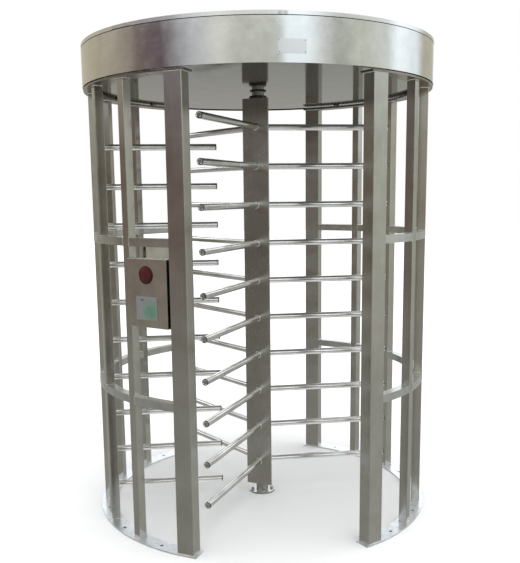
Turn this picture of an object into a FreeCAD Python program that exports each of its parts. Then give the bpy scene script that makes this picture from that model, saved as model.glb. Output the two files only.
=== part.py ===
import FreeCAD, Part
import math
import os

os.makedirs("parts", exist_ok=True)

# Full-height rotor turnstile of one walkway, built from stainless tube and plate.
# Millimetres, +Z up. The origin is on the floor, on the rotor's axis.
# -Y is the side that visitors enter from, and the fixed comb is on -X.

V = FreeCAD.Vector
UP = V(0, 0, 1)

# ---- driving dimensions: cage and canopy ---------------------------------------------
canopy_radius = 825.0
band_wall = 2.0
band_bottom_z = 2015.0
band_height = 170.0
band_flange_width = 30.0
lid_height = 18.0
lid_sheet = 2.0
lid_seam = 3.0
lid_skirt_wall = 3.0

strip_setback = 3.0
strip_width = 75.0
base_strip_thickness = 6.0
head_strip_thickness = 8.0
head_strip_gap = 4.0
strip_end_angle = 63.1
anchor_offset = 3.5
anchor_angles = (9.65, 28.95, 48.95)
anchor_hole_radius = 7.0

post_wall = 2.0
post_corner = 3.0
narrow_post_side = 40.0
wide_post_tangential = 80.0
wide_post_radial = 60.0
narrow_post_angles = (-38.6, -19.3, 0.0, 19.3, 38.6)
wide_post_angle = 59.3

rail_radial = 40.0
rail_height = 35.0
rail_wall = 2.0
rail_heights = {"lower_rails": 648.0, "upper_rails": 1335.0}

ceiling_recess = 4.0
ceiling_thickness = 3.0

# ---- driving dimensions: rotor and comb ----------------------------------------------
bar_radius = 15.0
bar_wall = 2.0
bars_per_wing = 10
lowest_wing_bar_z = 169.8
top_wing_bar_drop = 169.8
wing_tip_clearance = 109.5
comb_tip_radius = 206.0
rest_angle = 1.6
plug_cap = 3.0
plug_dome = 2.5
plug_bevel = 4.0
plug_spigot = 12.0

column_side = 140.0
column_wall = 3.0
column_corner = 4.0
column_bottom_z = 47.0
column_head_gap = 37.0
column_plate = 10.0

shaft_radius = 30.0
running_clearance = 0.05
seat_gap = 0.3
ceiling_hole_clearance = 4.0

# ---- driving dimensions: floor bearing -----------------------------------------------
flange_radius = 65.0
flange_thickness = 8.0
pivot_boss_radius = 30.0
pivot_pin_radius = 15.0
pivot_pin_above_bush = 3.0
lower_bush_radius = 24.0
lower_bush_flange_radius = 28.0
bush_flange_thickness = 3.0
lower_bush_length = 25.0
floor_screw_circle = 50.0
floor_screw_radius = 5.0
floor_screw_head_radius = 8.0
floor_screw_head_height = 10.0
screw_hole_clearance = 0.5

# ---- driving dimensions: canopy fixings, beams and lock ------------------------------
fixing_radius = 6.0
fixing_head_flats = 19.0
fixing_head_height = 7.5
spacer_radius = 15.0

beam_width = 60.0
beam_height = 40.0
beam_wall = 3.0
beam_end_lap = 5.5
fixing_end_gap = 1.0

chassis_half_length = 205.0
chassis_thickness = 10.0
housing_wall = 13.95
housing_above_plate = 10.0
housing_below_plate = 36.0
upper_bush_wall = 8.0
upper_bush_flange_width = 11.95
upper_bush_flange = 6.0

disc_radius = 105.0
disc_thickness = 10.0
disc_above_hub_foot = 8.0
hub_wall = 16.0
index_pin_radius = 8.0
index_pin_from_rim = 20.0
index_pin_height = 12.0

pawl_thickness = 12.0
pawl_above_pins = 1.5
pawl_half_width = 9.0
pawl_boss_wall = 8.0
pawl_arm = 110.0
pawl_tail = 45.0
pawl_tooth_radius = 6.0
pawl_tooth_play = 2.0
pawl_release_angle = 14.0
pawl_tail_contact = 37.0
pivot_stud_radius = 6.0
pivot_stud_proud = 3.0

solenoid_length = 56.0
solenoid_width = 44.0
solenoid_height = 40.0
plunger_radius = 8.0
plunger_length = 60.0
plunger_nose_gap = 0.5
plunger_proud = 18.0
plunger_clearance = 0.08

wheel_radius = 20.0
wheel_thickness = 12.0
wheel_axle_radius = 3.0
encoder_radius = 17.0
encoder_floor = 4.0

control_box_size = (240.0, 160.0, 90.0)
control_box_x = 460.0

# ---- driving dimensions: signal boxes, nameplate and lid clamps ----------------------
box_face_proud = 27.5
box_gap_to_narrow_post = 2.2
box_gap_to_wide_post = 3.9
box_bottom_z = 981.0
box_height = 288.0
box_sheet = 2.0
cover_depth = 37.0
cover_lap = 15.0
housing_depth = 46.0
housing_inset = 2.0
lug_height = 30.0
lug_depth = 15.0
lug_behind_cover = 3.0
lug_share = 0.2
lens_radius = 36.0
lens_thickness = 9.0
lens_flange = 4.0
lens_z = 1201.5
lens_offset = -6.0
panel_width = 116.0
panel_height = 98.0
panel_z = 1063.0
panel_offset = -6.0
panel_thickness = 6.0
panel_rim = 5.0
panel_proud = 1.5
board_size = (160.0, 230.0, 1.6)
board_standoff = 12.0
standoff_radius = 4.0
standoff_inset = 8.0
led_radius = 26.0
led_height = 14.0
box_screw_radius = 2.0
box_screw_head_radius = 4.0
box_screw_head_height = 2.5
box_screw_length = 10.0
box_screw_offset = 70.0

plate_width = 110.0
plate_height = 53.0
plate_thickness = 1.0
plate_above_band_foot = 60.0
plate_angle = -87.5

clamp_thickness = 2.0
clamp_margin = 1.0
clamp_arcs = ((-138.0, 115.0), (42.0, 115.0), (-90.0, 40.0), (90.0, 40.0))

# ---- levels worked out from them -----------------------------------------------------
head_strip_top_z = band_bottom_z - head_strip_gap
head_strip_z = head_strip_top_z - head_strip_thickness
ceiling_z = band_bottom_z + ceiling_recess
ceiling_top_z = ceiling_z + ceiling_thickness
band_top_z = band_bottom_z + band_height
plate_z = band_bottom_z + plate_above_band_foot
canopy_top_z = band_top_z + lid_height
beam_top_z = ceiling_top_z + beam_height
chassis_top_z = beam_top_z + chassis_thickness
housing_top_z = chassis_top_z + housing_above_plate
column_top_z = ceiling_z - column_head_gap
hub_z = housing_top_z + upper_bush_flange + seat_gap
disc_z = hub_z + disc_above_hub_foot
disc_top_z = disc_z + disc_thickness
shaft_top_z = disc_top_z
pawl_z = disc_top_z + index_pin_height + pawl_above_pins
plunger_z = pawl_z + pawl_thickness / 2
strip_outer_radius = canopy_radius - strip_setback
strip_inner_radius = strip_outer_radius - strip_width
post_circle_radius = strip_outer_radius - strip_width / 2
anchor_circle_radius = post_circle_radius + anchor_offset
beam_offset = post_circle_radius * math.sin(math.radians(anchor_angles[0]))
beam_half_length = post_circle_radius + beam_end_lap
wing_tip_radius = post_circle_radius - narrow_post_side / 2 - wing_tip_clearance
bar_pitch = (ceiling_z - top_wing_bar_drop - lowest_wing_bar_z) / (bars_per_wing - 1)
index_pin_circle = disc_radius - index_pin_from_rim
pin_to_tooth = index_pin_radius + pawl_tooth_play + pawl_tooth_radius
pawl_lead_angle = 2 * math.degrees(math.asin(pin_to_tooth / (2 * index_pin_circle)))
hub_radius = shaft_radius + hub_wall
pawl_boss_radius = pivot_stud_radius + pawl_boss_wall
column_apothem = column_side / (2 * math.sqrt(3))
shaft_bore_radius = shaft_radius + running_clearance
upper_bush_radius = shaft_bore_radius + upper_bush_wall
upper_bush_flange_radius = upper_bush_radius + upper_bush_flange_width
housing_radius = upper_bush_radius + housing_wall


def save(node, solids):
    """Write one node's solids, which stay separate, to its STEP file."""
    if not isinstance(solids, list):
        solids = [solids]
    shape = solids[0] if len(solids) == 1 else Part.makeCompound(solids)
    shape.exportStep("parts/" + node + ".step")


def polar(radius, degrees, z=0.0):
    a = math.radians(degrees)
    return V(radius * math.cos(a), radius * math.sin(a), z)


def turned(shape, degrees, centre=V(0, 0, 0)):
    """A copy turned about a vertical line through centre."""
    copy = shape.copy()
    copy.rotate(centre, UP, degrees)
    return copy


def moved(shape, x, y, z):
    copy = shape.copy()
    copy.translate(V(x, y, z))
    return copy


def block(x, y, z):
    """A box from three (low, high) pairs."""
    return Part.makeBox(x[1] - x[0], y[1] - y[0], z[1] - z[0], V(x[0], y[0], z[0]))


def disc(radius, z_low, z_high, x=0.0, y=0.0):
    return Part.makeCylinder(radius, z_high - z_low, V(x, y, z_low))


def ring(inner, outer, z_low, z_high):
    return disc(outer, z_low, z_high).cut(disc(inner, z_low, z_high))


def ring_sector(inner, outer, z_low, z_high, start, sweep):
    """Part of a ring, from the angle start through the angle sweep."""
    height = z_high - z_low
    foot = V(0, 0, z_low)
    whole = Part.makeCylinder(outer, height, foot, UP, sweep)
    hole = Part.makeCylinder(inner, height, foot, UP, sweep)
    return turned(whole.cut(hole), start)


def rod(radius, start, end):
    return Part.makeCylinder(radius, (end - start).Length, start, end - start)


def tube(radius, wall, start, end):
    return rod(radius, start, end).cut(rod(radius - wall, start, end))


# ---- base strips, posts, rails and head strips ---------------------------------------
def strip(side_angle, z_low, z_high, hole_circle, hole_radius):
    """A curved flat strip under or over one side's seven posts, with its holes."""
    start = side_angle - strip_end_angle
    plate = ring_sector(
        strip_inner_radius, strip_outer_radius, z_low, z_high, start, 2 * strip_end_angle
    )
    for angle in anchor_angles:
        for sign in (-1, 1):
            spot = polar(hole_circle, side_angle + sign * angle)
            plate = plate.cut(disc(hole_radius, z_low, z_high, spot.x, spot.y))
    return plate


def post_outline(angle, z_low, z_high, wide, inset=0.0):
    """A post's solid outline, square to its radius; inset gives the bore of the tube."""
    radial = wide_post_radial if wide else narrow_post_side
    tangential = wide_post_tangential if wide else narrow_post_side
    half_r = radial / 2 - inset
    half_t = tangential / 2 - inset
    outline = block(
        (post_circle_radius - half_r, post_circle_radius + half_r),
        (-half_t, half_t),
        (z_low, z_high),
    )
    corner = post_corner - inset
    edges = [e for e in outline.Edges if abs(e.tangentAt(e.FirstParameter).z) > 0.5]
    return turned(outline.makeFillet(corner, edges), angle)


def side_posts(side_angle):
    """(angle, is it wide) of one side's posts, from one passage to the other."""
    narrow = [(side_angle + a, False) for a in narrow_post_angles]
    first = (side_angle - wide_post_angle, True)
    last = (side_angle + wide_post_angle, True)
    return [first] + narrow + [last]


def post(angle, wide):
    z_low, z_high = base_strip_thickness, head_strip_z
    outer = post_outline(angle, z_low, z_high, wide)
    return outer.cut(post_outline(angle, z_low, z_high, wide, post_wall))


def rails(z_centre):
    """Curved tube pieces between neighbouring posts, all round both sides."""
    pieces = []
    low, high = z_centre - rail_height / 2, z_centre + rail_height / 2
    inner, outer = post_circle_radius - rail_radial / 2, post_circle_radius + rail_radial / 2
    for side_angle in (0.0, 180.0):
        posts = side_posts(side_angle)
        for (start, wide_a), (end, wide_b) in zip(posts, posts[1:]):
            sweep = end - start
            piece = ring_sector(inner, outer, low, high, start, sweep)
            bore = ring_sector(
                inner + rail_wall, outer - rail_wall, low + rail_wall, high - rail_wall, start, sweep
            )
            piece = piece.cut(bore)
            for angle, wide in ((start, wide_a), (end, wide_b)):
                piece = piece.cut(square_outline(angle, low, high, wide))
            pieces.append(piece.Solids[0])
    return pieces


def square_outline(angle, z_low, z_high, wide):
    """A post's outline with sharp corners, which a butted piece is cut back to."""
    radial = (wide_post_radial if wide else narrow_post_side) / 2 + 1.0
    tangential = (wide_post_tangential if wide else narrow_post_side) / 2
    outline = block(
        (post_circle_radius - radial, post_circle_radius + radial),
        (-tangential, tangential),
        (z_low, z_high),
    )
    return turned(outline, angle)


for side, side_angle in (("left", 180.0), ("right", 0.0)):
    base_strip = strip(
        side_angle, 0.0, base_strip_thickness, anchor_circle_radius, anchor_hole_radius
    )
    head_strip = strip(
        side_angle, head_strip_z, head_strip_top_z, post_circle_radius, fixing_radius
    )
    save("base_strip_" + side, base_strip)
    save("head_strip_" + side, head_strip)
    for number, (angle, wide) in enumerate(side_posts(side_angle), start=1):
        save("post_%s_%d" % (side, number), post(angle, wide))

for node, z_centre in rail_heights.items():
    save(node, rails(z_centre))

# ---- bars, their plugs, and the fixed comb -------------------------------------------
wing_bar_heights = [lowest_wing_bar_z + i * bar_pitch for i in range(bars_per_wing)]
comb_bar_heights = [z - bar_pitch / 2 for z in wing_bar_heights]
plug_length = plug_cap + plug_dome
bore_radius = bar_radius - bar_wall


def radial_bar(angle, r_low, r_high, z):
    return tube(bar_radius, bar_wall, polar(r_low, angle, z), polar(r_high, angle, z))


def bar_plug(angle, r_face, outward, z):
    """A turned plug: spigot in the bar, cap the bar's size, and a bevelled end."""
    step = polar(1.0, angle) * outward
    face = polar(r_face, angle, z)
    body = rod(bore_radius, face - step * plug_spigot, face + step * plug_cap)
    body = body.fuse(rod(bar_radius, face, face + step * plug_cap))
    top = Part.makeCone(
        bar_radius, bar_radius - plug_bevel, plug_dome, face + step * plug_cap, step
    )
    return body.fuse(top).removeSplitter()


for number in (1, 2, 3):
    angle = rest_angle + 120.0 * (number - 1)
    bars = [
        radial_bar(angle, column_apothem, wing_tip_radius - plug_length, z)
        for z in wing_bar_heights
    ]
    save("wing_bars_%d" % number, bars)

save(
    "wing_plugs",
    [
        bar_plug(rest_angle + 120.0 * wing, wing_tip_radius - plug_length, 1, z)
        for wing in range(3)
        for z in wing_bar_heights
    ],
)

comb_root_radius = post_circle_radius - narrow_post_side / 2
save(
    "comb_bars",
    [radial_bar(180.0, comb_tip_radius + plug_length, comb_root_radius, z) for z in comb_bar_heights],
)
save(
    "comb_plugs",
    [bar_plug(180.0, comb_tip_radius + plug_length, -1, z) for z in comb_bar_heights],
)


# ---- rotor column, its end plates, shaft and bushes ----------------------------------
def triangle(apothem, z_low, z_high, corner=0.0):
    """An upright prism whose three flat faces look along the three wings."""
    points = [polar(2 * apothem, rest_angle + 60.0 + 120.0 * i, z_low) for i in range(3)]
    outline = Part.makePolygon(points + [points[0]])
    prism = Part.Face(outline).extrude(UP * (z_high - z_low))
    if corner > 0:
        edges = [e for e in prism.Edges if abs(e.tangentAt(e.FirstParameter).z) > 0.5]
        prism = prism.makeFillet(corner, edges)
    return prism


column = triangle(column_apothem, column_bottom_z, column_top_z, column_corner)
column_bore = triangle(
    column_apothem - column_wall, column_bottom_z, column_top_z, column_corner - column_wall
)
save("rotor_column", column.cut(column_bore))

bottom_plate = triangle(
    column_apothem - column_wall,
    column_bottom_z,
    column_bottom_z + column_plate,
    column_corner - column_wall,
).cut(disc(lower_bush_radius, column_bottom_z, column_bottom_z + column_plate))
top_plate = triangle(
    column_apothem - column_wall,
    column_top_z - column_plate,
    column_top_z,
    column_corner - column_wall,
)
save("column_end_plates", [bottom_plate, top_plate])

save("rotor_shaft", disc(shaft_radius, column_top_z, shaft_top_z))

bush_foot_z = column_bottom_z - bush_flange_thickness
lower_bush = disc(lower_bush_radius, column_bottom_z, column_bottom_z + lower_bush_length)
lower_bush = lower_bush.fuse(disc(lower_bush_flange_radius, bush_foot_z, column_bottom_z))
lower_bush = lower_bush.cut(
    disc(
        pivot_pin_radius + running_clearance, bush_foot_z, column_bottom_z + lower_bush_length
    )
)
save("lower_bush", lower_bush.removeSplitter())

upper_bush = disc(upper_bush_radius, chassis_top_z - housing_below_plate, housing_top_z)
upper_bush = upper_bush.fuse(
    disc(upper_bush_flange_radius, housing_top_z, housing_top_z + upper_bush_flange)
)
upper_bush = upper_bush.cut(
    disc(
        shaft_bore_radius,
        chassis_top_z - housing_below_plate,
        housing_top_z + upper_bush_flange,
    )
)
save("upper_bush", upper_bush.removeSplitter())

# ---- floor flange with its pivot pin, and its screws ---------------------------------
pivot_boss_top_z = bush_foot_z - seat_gap
pivot_top_z = column_bottom_z + lower_bush_length + pivot_pin_above_bush
flange = disc(flange_radius, 0.0, flange_thickness)
flange = flange.fuse(disc(pivot_boss_radius, 0.0, pivot_boss_top_z))
flange = flange.fuse(disc(pivot_pin_radius, 0.0, pivot_top_z))
floor_screws = []
for quarter in range(4):
    spot = polar(floor_screw_circle, 90.0 * quarter)
    hole = disc(
        floor_screw_radius + screw_hole_clearance, 0.0, flange_thickness, spot.x, spot.y
    )
    flange = flange.cut(hole)
    head_top_z = flange_thickness + floor_screw_head_height
    screw = disc(floor_screw_radius, 0.0, flange_thickness, spot.x, spot.y)
    screw = screw.fuse(
        disc(floor_screw_head_radius, flange_thickness, head_top_z, spot.x, spot.y)
    )
    socket = disc(
        floor_screw_radius - 1.0, head_top_z - floor_screw_radius, head_top_z, spot.x, spot.y
    )
    floor_screws.append(screw.cut(socket))
save("floor_flange", flange.removeSplitter())
save("floor_screws", floor_screws)

# ---- canopy: band, ceiling, lid and lid clamps ---------------------------------------
band_inner_radius = canopy_radius - band_wall
band = ring(band_inner_radius, canopy_radius, band_bottom_z, band_top_z)
band = band.fuse(
    ring(canopy_radius - band_flange_width, canopy_radius, band_top_z - band_wall, band_top_z)
)
save("canopy_band", band.removeSplitter())

fixing_spots = []
for side_angle in (0.0, 180.0):
    for angle in anchor_angles:
        for sign in (-1, 1):
            spot = polar(post_circle_radius, side_angle + sign * angle)
            fixing_spots.append((spot, angle == anchor_angles[0]))

fixing_hole_radius = fixing_radius + screw_hole_clearance
ceiling = disc(band_inner_radius, ceiling_z, ceiling_top_z)
ceiling = ceiling.cut(disc(shaft_radius + ceiling_hole_clearance, ceiling_z, ceiling_top_z))
for spot, on_beam in fixing_spots:
    ceiling = ceiling.cut(disc(fixing_hole_radius, ceiling_z, ceiling_top_z, spot.x, spot.y))
save("ceiling_plate", ceiling)

skirt_outer_radius = canopy_radius - lid_sheet
lid = disc(canopy_radius, canopy_top_z - lid_sheet, canopy_top_z)
lid = lid.fuse(ring(skirt_outer_radius, canopy_radius, band_top_z + lid_seam, canopy_top_z))
lid = lid.fuse(
    ring(skirt_outer_radius - lid_skirt_wall, skirt_outer_radius, band_top_z, canopy_top_z)
)
save("canopy_lid", lid.removeSplitter())

clamps = []
for angle, length in clamp_arcs:
    sweep = math.degrees(length / canopy_radius)
    clamps.append(
        ring_sector(
            canopy_radius,
            canopy_radius + clamp_thickness,
            band_top_z + lid_seam,
            canopy_top_z - clamp_margin,
            angle - sweep / 2,
            sweep,
        )
    )
save("lid_clamps", clamps)

plate_sweep = math.degrees(plate_width / canopy_radius)
nameplate = ring_sector(
    canopy_radius,
    canopy_radius + plate_thickness,
    plate_z - plate_height / 2,
    plate_z + plate_height / 2,
    plate_angle - plate_sweep / 2,
    plate_sweep,
)
save("nameplate", nameplate)


# ---- canopy fixings: bolts with their spacers ----------------------------------------
def hexagon(flats, z_low, z_high, x, y):
    points = [V(x, y, z_low) + polar(flats / math.sqrt(3), 60.0 * i) for i in range(6)]
    outline = Part.makePolygon(points + [points[0]])
    return Part.Face(outline).extrude(UP * (z_high - z_low))


fixings = []
for spot, on_beam in fixing_spots:
    seat_z = beam_top_z if on_beam else ceiling_top_z
    bolt = disc(fixing_radius, head_strip_z + fixing_end_gap, seat_z, spot.x, spot.y)
    bolt = bolt.fuse(
        hexagon(fixing_head_flats, seat_z, seat_z + fixing_head_height, spot.x, spot.y)
    )
    spacer = disc(spacer_radius, head_strip_top_z, ceiling_z, spot.x, spot.y)
    spacer = spacer.cut(
        disc(fixing_hole_radius, head_strip_top_z, ceiling_z, spot.x, spot.y)
    )
    fixings += [bolt, spacer]
save("canopy_fixings", fixings)

# ---- head beams and the lock's chassis -----------------------------------------------
beams = []
for sign in (-1, 1):
    centre_y = sign * beam_offset
    beam = block(
        (-beam_half_length, beam_half_length),
        (centre_y - beam_width / 2, centre_y + beam_width / 2),
        (ceiling_top_z, beam_top_z),
    )
    bore = block(
        (-beam_half_length, beam_half_length),
        (centre_y - beam_width / 2 + beam_wall, centre_y + beam_width / 2 - beam_wall),
        (ceiling_top_z + beam_wall, beam_top_z - beam_wall),
    )
    beam = beam.cut(bore)
    for spot, on_beam in fixing_spots:
        if on_beam and spot.y * sign > 0:
            beam = beam.cut(
                disc(fixing_hole_radius, ceiling_top_z, beam_top_z, spot.x, spot.y)
            )
    beams.append(beam)
save("head_beams", beams)


def pawl_place(side):
    """A pawl's tooth and pivot where it blocks a pin: side is 1 for entry, -1 for exit."""
    tip_angle = 90.0 + side * pawl_lead_angle
    along = V(-side * math.sin(math.radians(tip_angle)), side * math.cos(math.radians(tip_angle)), 0)
    tip = polar(index_pin_circle, tip_angle)
    return tip, tip + along * pawl_arm, along


plate_half_width = beam_offset + beam_width / 2
chassis = block(
    (-chassis_half_length, chassis_half_length),
    (-plate_half_width, plate_half_width),
    (beam_top_z, chassis_top_z),
)
housing_foot_z = chassis_top_z - housing_below_plate
chassis = chassis.fuse(disc(housing_radius, housing_foot_z, housing_top_z))
for side in (1, -1):
    tip, pivot, along = pawl_place(side)
    chassis = chassis.fuse(
        disc(pawl_boss_radius, chassis_top_z, pawl_z - seat_gap, pivot.x, pivot.y)
    )
    stud_top_z = pawl_z + pawl_thickness + pivot_stud_proud
    chassis = chassis.fuse(
        disc(pivot_stud_radius, chassis_top_z, stud_top_z, pivot.x, pivot.y)
    )
chassis = chassis.cut(disc(upper_bush_radius, housing_foot_z, housing_top_z))
save("lock_chassis", chassis.removeSplitter())

# ---- index disc with the three pins pressed into it ----------------------------------
index_disc = disc(disc_radius, disc_z, disc_top_z)
index_disc = index_disc.fuse(disc(hub_radius, hub_z, disc_z))
index_pins = []
for third in range(3):
    spot = polar(index_pin_circle, 90.0 + 120.0 * third)
    index_disc = index_disc.cut(disc(index_pin_radius, disc_z, disc_top_z, spot.x, spot.y))
    index_pins.append(
        disc(index_pin_radius, disc_z, disc_top_z + index_pin_height, spot.x, spot.y)
    )
index_disc = index_disc.cut(disc(shaft_radius, hub_z, disc_top_z))
save("index_disc", [index_disc.removeSplitter()] + index_pins)


# ---- lock pawls, their solenoids and plungers ----------------------------------------
def pawl(side):
    """A pawl in its released place, turned back about its pivot from the blocking place.

    Its arm swings over the index pins, and its tooth hangs down beside them.
    """
    tip, pivot, along = pawl_place(side)
    heading = math.degrees(math.atan2(along.y, along.x))
    arm = block(
        (-pawl_arm - pawl_half_width, pawl_tail),
        (-pawl_half_width, pawl_half_width),
        (0.0, pawl_thickness),
    )
    edges = [e for e in arm.Edges if abs(e.tangentAt(e.FirstParameter).z) > 0.5]
    arm = arm.makeFillet(pawl_half_width / 3, edges)
    arm = arm.fuse(disc(pawl_boss_radius, 0.0, pawl_thickness))
    tooth = disc(pawl_tooth_radius, -index_pin_height, pawl_thickness, -pawl_arm)
    arm = arm.cut(tooth)
    arm = arm.cut(disc(pivot_stud_radius + running_clearance, 0.0, pawl_thickness))
    heading = heading + side * pawl_release_angle
    pieces = [turned(piece, heading) for piece in (arm.removeSplitter(), tooth)]
    return [moved(piece, pivot.x, pivot.y, pawl_z) for piece in pieces]


def plunger_line(side):
    """The plunger's nose point and direction: it pushes square on the tail at mid travel."""
    tip, pivot, along = pawl_place(side)
    heading = math.degrees(math.atan2(along.y, along.x)) + side * pawl_release_angle / 2
    tail = polar(1.0, heading)
    push = polar(1.0, heading - side * 90.0)
    half_turn = math.radians(pawl_release_angle / 2)
    rest_drop = pawl_tail_contact * math.tan(half_turn) + pawl_half_width / math.cos(half_turn)
    nose = pivot + tail * pawl_tail_contact - push * (rest_drop + plunger_nose_gap)
    return V(nose.x, nose.y, plunger_z), push


for side, name in ((1, "entry"), (-1, "exit")):
    save("lock_pawl_" + name, pawl(side))
    nose, push = plunger_line(side)
    ball_centre = nose - push * plunger_radius
    plunger = rod(plunger_radius, ball_centre - push * (plunger_length - plunger_radius), ball_centre)
    plunger = plunger.fuse(Part.makeSphere(plunger_radius, ball_centre))
    save("plunger_" + name, plunger.removeSplitter())

solenoids = []
for side in (1, -1):
    nose, push = plunger_line(side)
    heading = math.degrees(math.atan2(push.y, push.x))
    low_x = -plunger_proud - solenoid_length
    body = block(
        (low_x, -plunger_proud),
        (-solenoid_width / 2, solenoid_width / 2),
        (chassis_top_z, plunger_z + solenoid_height / 2),
    )
    bore = rod(
        plunger_radius + plunger_clearance,
        V(low_x, 0, plunger_z),
        V(-plunger_proud, 0, plunger_z),
    )
    body = turned(body.cut(bore), heading)
    solenoids.append(moved(body, nose.x, nose.y, 0.0))
save("solenoids", solenoids)

# ---- counting wheel that rolls on the index disc's rim, and its encoder --------------
wheel_y = -(disc_radius + seat_gap + wheel_radius)
wheel_z = (disc_z + disc_top_z) / 2 - wheel_thickness / 2
encoder = disc(encoder_radius, chassis_top_z, wheel_z - seat_gap, 0.0, wheel_y)
encoder_bore_z = chassis_top_z + encoder_floor
encoder = encoder.cut(
    disc(wheel_axle_radius + running_clearance, encoder_bore_z, wheel_z, 0.0, wheel_y)
)
save("encoder_body", encoder)
wheel = disc(wheel_radius, wheel_z, wheel_z + wheel_thickness, 0.0, wheel_y)
wheel = wheel.fuse(disc(wheel_axle_radius, encoder_bore_z + seat_gap, wheel_z, 0.0, wheel_y))
save("counter_wheel", wheel.removeSplitter())

length, width, height = control_box_size
control_box = block(
    (control_box_x - length / 2, control_box_x + length / 2),
    (-width / 2, width / 2),
    (ceiling_top_z, ceiling_top_z + height),
)
control_bore = block(
    (control_box_x - length / 2 + box_sheet, control_box_x + length / 2 - box_sheet),
    (-width / 2 + box_sheet, width / 2 - box_sheet),
    (ceiling_top_z + box_sheet, ceiling_top_z + height - box_sheet),
)
save("control_box", control_box.cut(control_bore))

# ---- signal boxes --------------------------------------------------------------------
# Each is built in its own axes: x is the distance from the rotor's axis along the box's
# outward normal, y is across it, and z is up. The rear one mirrors the front one.
box_half_angle = (wide_post_angle - narrow_post_angles[-1]) / 2
box_normal_angle = 180.0 + narrow_post_angles[-1] + box_half_angle
box_face_distance = post_circle_radius + box_face_proud
box_top_z = box_bottom_z + box_height
cover_back_x = box_face_distance - cover_depth


def post_face_y(x, tangential):
    """How far across from the box's middle a neighbouring post's face is, at distance x."""
    h = math.radians(box_half_angle)
    return x * math.tan(h) - tangential / 2 / math.cos(h)


housing_front_x = cover_back_x + cover_lap
housing_back_x = housing_front_x - housing_depth
cover_y = (
    -post_face_y(cover_back_x, narrow_post_side) + box_gap_to_narrow_post,
    post_face_y(cover_back_x, wide_post_tangential) - box_gap_to_wide_post,
)
box_centre_y = (cover_y[0] + cover_y[1]) / 2
housing_y = (cover_y[0] + box_sheet + housing_inset, cover_y[1] - box_sheet - housing_inset)
housing_z = (box_bottom_z + box_sheet, box_top_z - box_sheet)
lens_y = box_centre_y + lens_offset
panel_y = box_centre_y + panel_offset
screw_x = cover_back_x + cover_lap / 2
screw_spots = [
    (box_centre_y + side * box_screw_offset, z, up)
    for side in (-1, 1)
    for z, up in ((box_top_z, 1), (box_bottom_z, -1))
]


def screw_line(radius, y, z, up, out, into):
    """A rod along a cover screw's axis, from out above the cover's face to into below it."""
    return rod(radius, V(screw_x, y, z + up * out), V(screw_x, y, z - up * into))


def inset(pair, by):
    return (pair[0] + by, pair[1] - by)


def box_housing():
    shell = block((housing_back_x, housing_front_x), housing_y, housing_z)
    shell = shell.cut(
        block(
            (housing_back_x + box_sheet, housing_front_x),
            inset(housing_y, box_sheet),
            inset(housing_z, box_sheet),
        )
    )
    lug_x = (cover_back_x - lug_behind_cover - lug_depth, cover_back_x - lug_behind_cover)
    reach_y = lug_x[0] * math.tan(math.radians(box_half_angle))
    for share in (lug_share, 1.0 - lug_share):
        centre_z = box_bottom_z + share * box_height
        lug_z = (centre_z - lug_height / 2, centre_z + lug_height / 2)
        for lug_y, angle, wide in (
            ((-reach_y, housing_y[0]), -box_half_angle, False),
            ((housing_y[1], reach_y), box_half_angle, True),
        ):
            lug = block(lug_x, lug_y, lug_z)
            shell = shell.fuse(lug.cut(square_outline(angle, lug_z[0], lug_z[1], wide)))
    for y, z, up in screw_spots:
        shell = shell.cut(screw_line(box_screw_radius, y, z, up, 1.0, box_screw_length))
    return shell.removeSplitter()


def box_cover():
    cover = block((cover_back_x, box_face_distance), cover_y, (box_bottom_z, box_top_z))
    cover = cover.cut(
        block(
            (cover_back_x, box_face_distance - box_sheet),
            inset(cover_y, box_sheet),
            inset((box_bottom_z, box_top_z), box_sheet),
        )
    )
    cover = cover.cut(lens_rod(lens_radius, -box_sheet, 0.0))
    cover = cover.cut(
        block(
            (box_face_distance - box_sheet, box_face_distance),
            (panel_y - panel_width / 2, panel_y + panel_width / 2),
            (panel_z - panel_height / 2, panel_z + panel_height / 2),
        )
    )
    for y, z, up in screw_spots:
        cover = cover.cut(screw_line(box_screw_radius, y, z, up, 1.0, box_screw_length))
    return cover


def lens_rod(radius, low, high):
    """A rod along the lens's axis, from low to high out of the cover's face."""
    face = box_face_distance
    return rod(radius, V(face + low, lens_y, lens_z), V(face + high, lens_y, lens_z))


def signal_lens():
    """A domed lens with a flange behind the cover."""
    lens = lens_rod(lens_radius, -box_sheet, lens_thickness / 3)
    lens = lens.fuse(lens_rod(lens_radius + lens_flange, -2 * box_sheet, -box_sheet))
    dome = Part.makeCone(
        lens_radius,
        lens_radius * 0.7,
        lens_thickness * 2 / 3,
        V(box_face_distance + lens_thickness / 3, lens_y, lens_z),
        V(1, 0, 0),
    )
    return lens.fuse(dome).removeSplitter()


def reader_panel():
    """A flat panel, flush in the cover's window, with a wider back behind the cover."""
    window_y = (panel_y - panel_width / 2, panel_y + panel_width / 2)
    window_z = (panel_z - panel_height / 2, panel_z + panel_height / 2)
    face = box_face_distance
    front = block((face - box_sheet, face + panel_proud), window_y, window_z)
    back = block(
        (face - panel_thickness, face - box_sheet),
        inset(window_y, -panel_rim),
        inset(window_z, -panel_rim),
    )
    return front.fuse(back).removeSplitter()


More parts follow.
